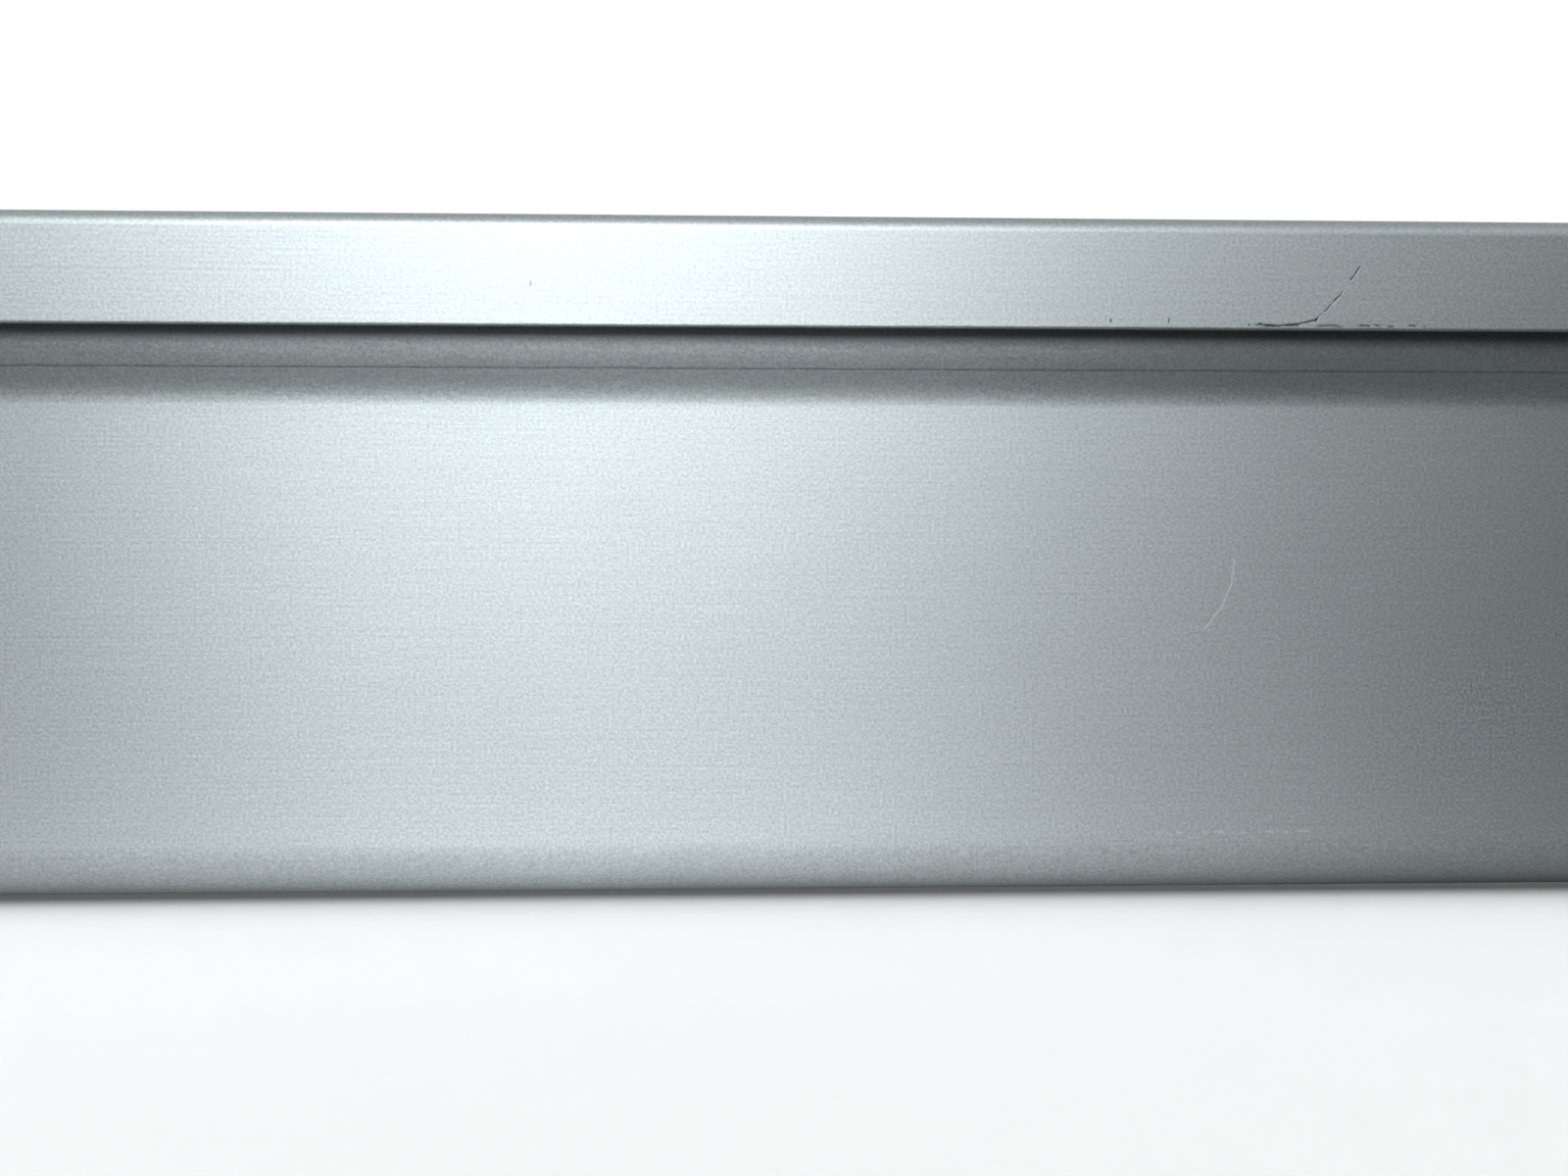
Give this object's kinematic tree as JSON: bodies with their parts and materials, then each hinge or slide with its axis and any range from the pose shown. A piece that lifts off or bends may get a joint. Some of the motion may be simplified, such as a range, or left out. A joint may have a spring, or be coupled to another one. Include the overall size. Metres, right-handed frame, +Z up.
{
  "type": "sterilization container",
  "caption": "Long rigid metal box with rounded corners and a flared rim, a loose lid with vented filter fields, and a latch and a drop handle on each short end.",
  "frame": {"origin": "middle of the base, on the surface that the container stands on", "axes": "+X along the long sides, +Y across, +Z up; right is +X, front is -Y"},
  "size_m": [0.6082, 0.28, 0.15],
  "materials": {
    "anodised_aluminium": "satin, brushed",
    "stainless": "satin",
    "silicone": "matt",
    "grip_rubber": "matt",
    "moulded_plastic": "satin",
    "button_plastic": "satin",
    "filter_paper": "matt",
    "label_plastic": "satin"
  },
  "bodies": {
    "pan": {"pan": "anodised_aluminium", "latch_keeper_right": "stainless", "latch_keeper_left": "stainless", "handle_bracket_rear_right": "stainless", "handle_bracket_front_right": "stainless", "handle_bracket_rear_left": "stainless", "handle_bracket_front_left": "stainless", "label_frame_right": "stainless", "label_frame_left": "stainless", "pan_rivets_right": "stainless", "pan_rivets_left": "stainless"},
    "lid": {"lid": "anodised_aluminium", "gasket_channel": "stainless", "lid_gasket": "silicone", "latch_hinge_right": "stainless", "latch_hinge_left": "stainless", "latch_pin_right": "stainless", "latch_pin_left": "stainless", "lid_rivets_right": "stainless", "lid_rivets_left": "stainless", "filter_stud_right": "stainless", "filter_stud_left": "stainless"},
    "latch_right": {"latch_lever_right": "stainless"},
    "handle_right": {"handle_bail_right": "stainless", "handle_grip_right": "grip_rubber"},
    "filter_carrier_right": {"filter_plate_right": "stainless", "filter_seal_right": "silicone", "filter_sheet_right": "filter_paper", "filter_hub_right": "moulded_plastic", "filter_clip_right": "stainless"},
    "filter_button_right": {"filter_button_right": "button_plastic"},
    "label_card_right": {"label_card_right": "label_plastic"},
    "latch_left": {"latch_lever_left": "stainless"},
    "handle_left": {"handle_bail_left": "stainless", "handle_grip_left": "grip_rubber"},
    "filter_carrier_left": {"filter_plate_left": "stainless", "filter_seal_left": "silicone", "filter_sheet_left": "filter_paper", "filter_hub_left": "moulded_plastic", "filter_clip_left": "stainless"},
    "filter_button_left": {"filter_button_left": "button_plastic"},
    "label_card_left": {"label_card_left": "label_plastic"}
  },
  "joints": [
    {"name": "lid_lift", "type": "slide", "parent": "pan", "child": "lid", "axis": [0, 0, 1], "range_m": [0, 0.2]},
    {"name": "latch_right_hinge", "type": "hinge", "parent": "lid", "child": "latch_right", "pos_m": [0.295, 0, 0.138], "axis": [0, -1, 0], "range_deg": [-7, 103]},
    {"name": "handle_right_hinge", "type": "hinge", "parent": "pan", "child": "handle_right", "pos_m": [0.289, 0, 0.09], "axis": [0, -1, 0], "range_deg": [0, 90]},
    {"name": "filter_right_pull", "type": "slide", "parent": "lid", "child": "filter_carrier_right", "axis": [0, 0, -1], "range_m": [0, 0.04], "deforming": ["filter_clip_right"]},
    {"name": "filter_right_press", "type": "slide", "parent": "filter_carrier_right", "child": "filter_button_right", "axis": [0, 0, 1], "range_m": [0, 0.002], "stiffness_N_per_m": 800, "springref_m": -0.002, "deforming": ["filter_clip_right"]},
    {"name": "label_right_slide", "type": "slide", "parent": "pan", "child": "label_card_right", "axis": [0, 1, 0], "range_m": [0, 0.08]},
    {"name": "latch_left_hinge", "type": "hinge", "parent": "lid", "child": "latch_left", "pos_m": [-0.295, 0, 0.138], "axis": [0, 1, 0], "range_deg": [-7, 103]},
    {"name": "handle_left_hinge", "type": "hinge", "parent": "pan", "child": "handle_left", "pos_m": [-0.289, 0, 0.09], "axis": [0, 1, 0], "range_deg": [0, 90]},
    {"name": "filter_left_pull", "type": "slide", "parent": "lid", "child": "filter_carrier_left", "axis": [0, 0, -1], "range_m": [0, 0.04], "deforming": ["filter_clip_left"]},
    {"name": "filter_left_press", "type": "slide", "parent": "filter_carrier_left", "child": "filter_button_left", "axis": [0, 0, 1], "range_m": [0, 0.002], "stiffness_N_per_m": 800, "springref_m": -0.002, "deforming": ["filter_clip_left"]},
    {"name": "label_left_slide", "type": "slide", "parent": "pan", "child": "label_card_left", "axis": [0, -1, 0], "range_m": [0, 0.08]}
  ]
}
